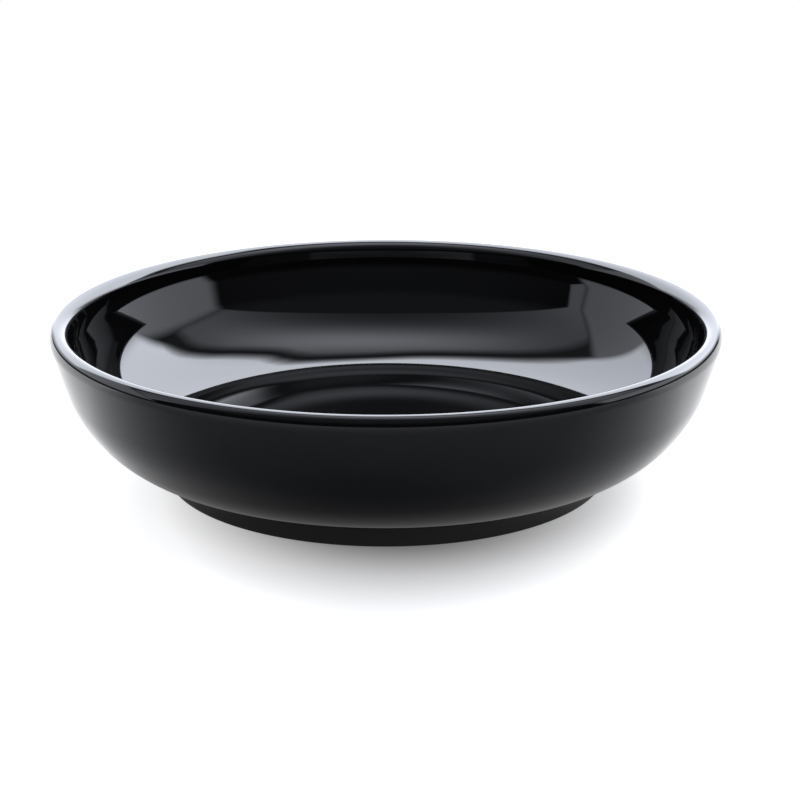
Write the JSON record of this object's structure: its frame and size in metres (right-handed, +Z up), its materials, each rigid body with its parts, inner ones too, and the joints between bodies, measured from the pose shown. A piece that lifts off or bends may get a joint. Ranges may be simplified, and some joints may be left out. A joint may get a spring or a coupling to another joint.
{
  "type": "magnetic pin bowl",
  "caption": "Shallow round gloss black bowl with a foot ring, which holds steel pins on its floor with magnets closed in under it.",
  "frame": {"origin": "on the table, under the middle of the bowl", "axes": "+Z up out of the bowl, -Y to the front, +X to the right"},
  "size_m": [0.12, 0.12, 0.0295],
  "materials": {
    "black_gloss_plastic": "moulded, polished",
    "black_satin_plastic": "moulded, fine texture",
    "zinc_plated_steel": "zinc plated sheet",
    "nickel_plated_magnet": "nickel plated",
    "screw_steel": "zinc plated",
    "black_rubber": "moulded, matt"
  },
  "bodies": {
    "root": {"bowl_shell": "black_gloss_plastic", "base_cover": "black_satin_plastic", "keeper_plate": "zinc_plated_steel", "magnet_centre": "nickel_plated_magnet", "cover_screws": "screw_steel", "magnet_ring_1": "nickel_plated_magnet", "magnet_ring_2": "nickel_plated_magnet", "magnet_ring_3": "nickel_plated_magnet", "magnet_ring_4": "nickel_plated_magnet", "magnet_ring_5": "nickel_plated_magnet", "magnet_ring_6": "nickel_plated_magnet", "rubber_foot_back_right": "black_rubber", "rubber_foot_back_left": "black_rubber", "rubber_foot_front_left": "black_rubber", "rubber_foot_front_right": "black_rubber"}
  },
  "joints": []
}
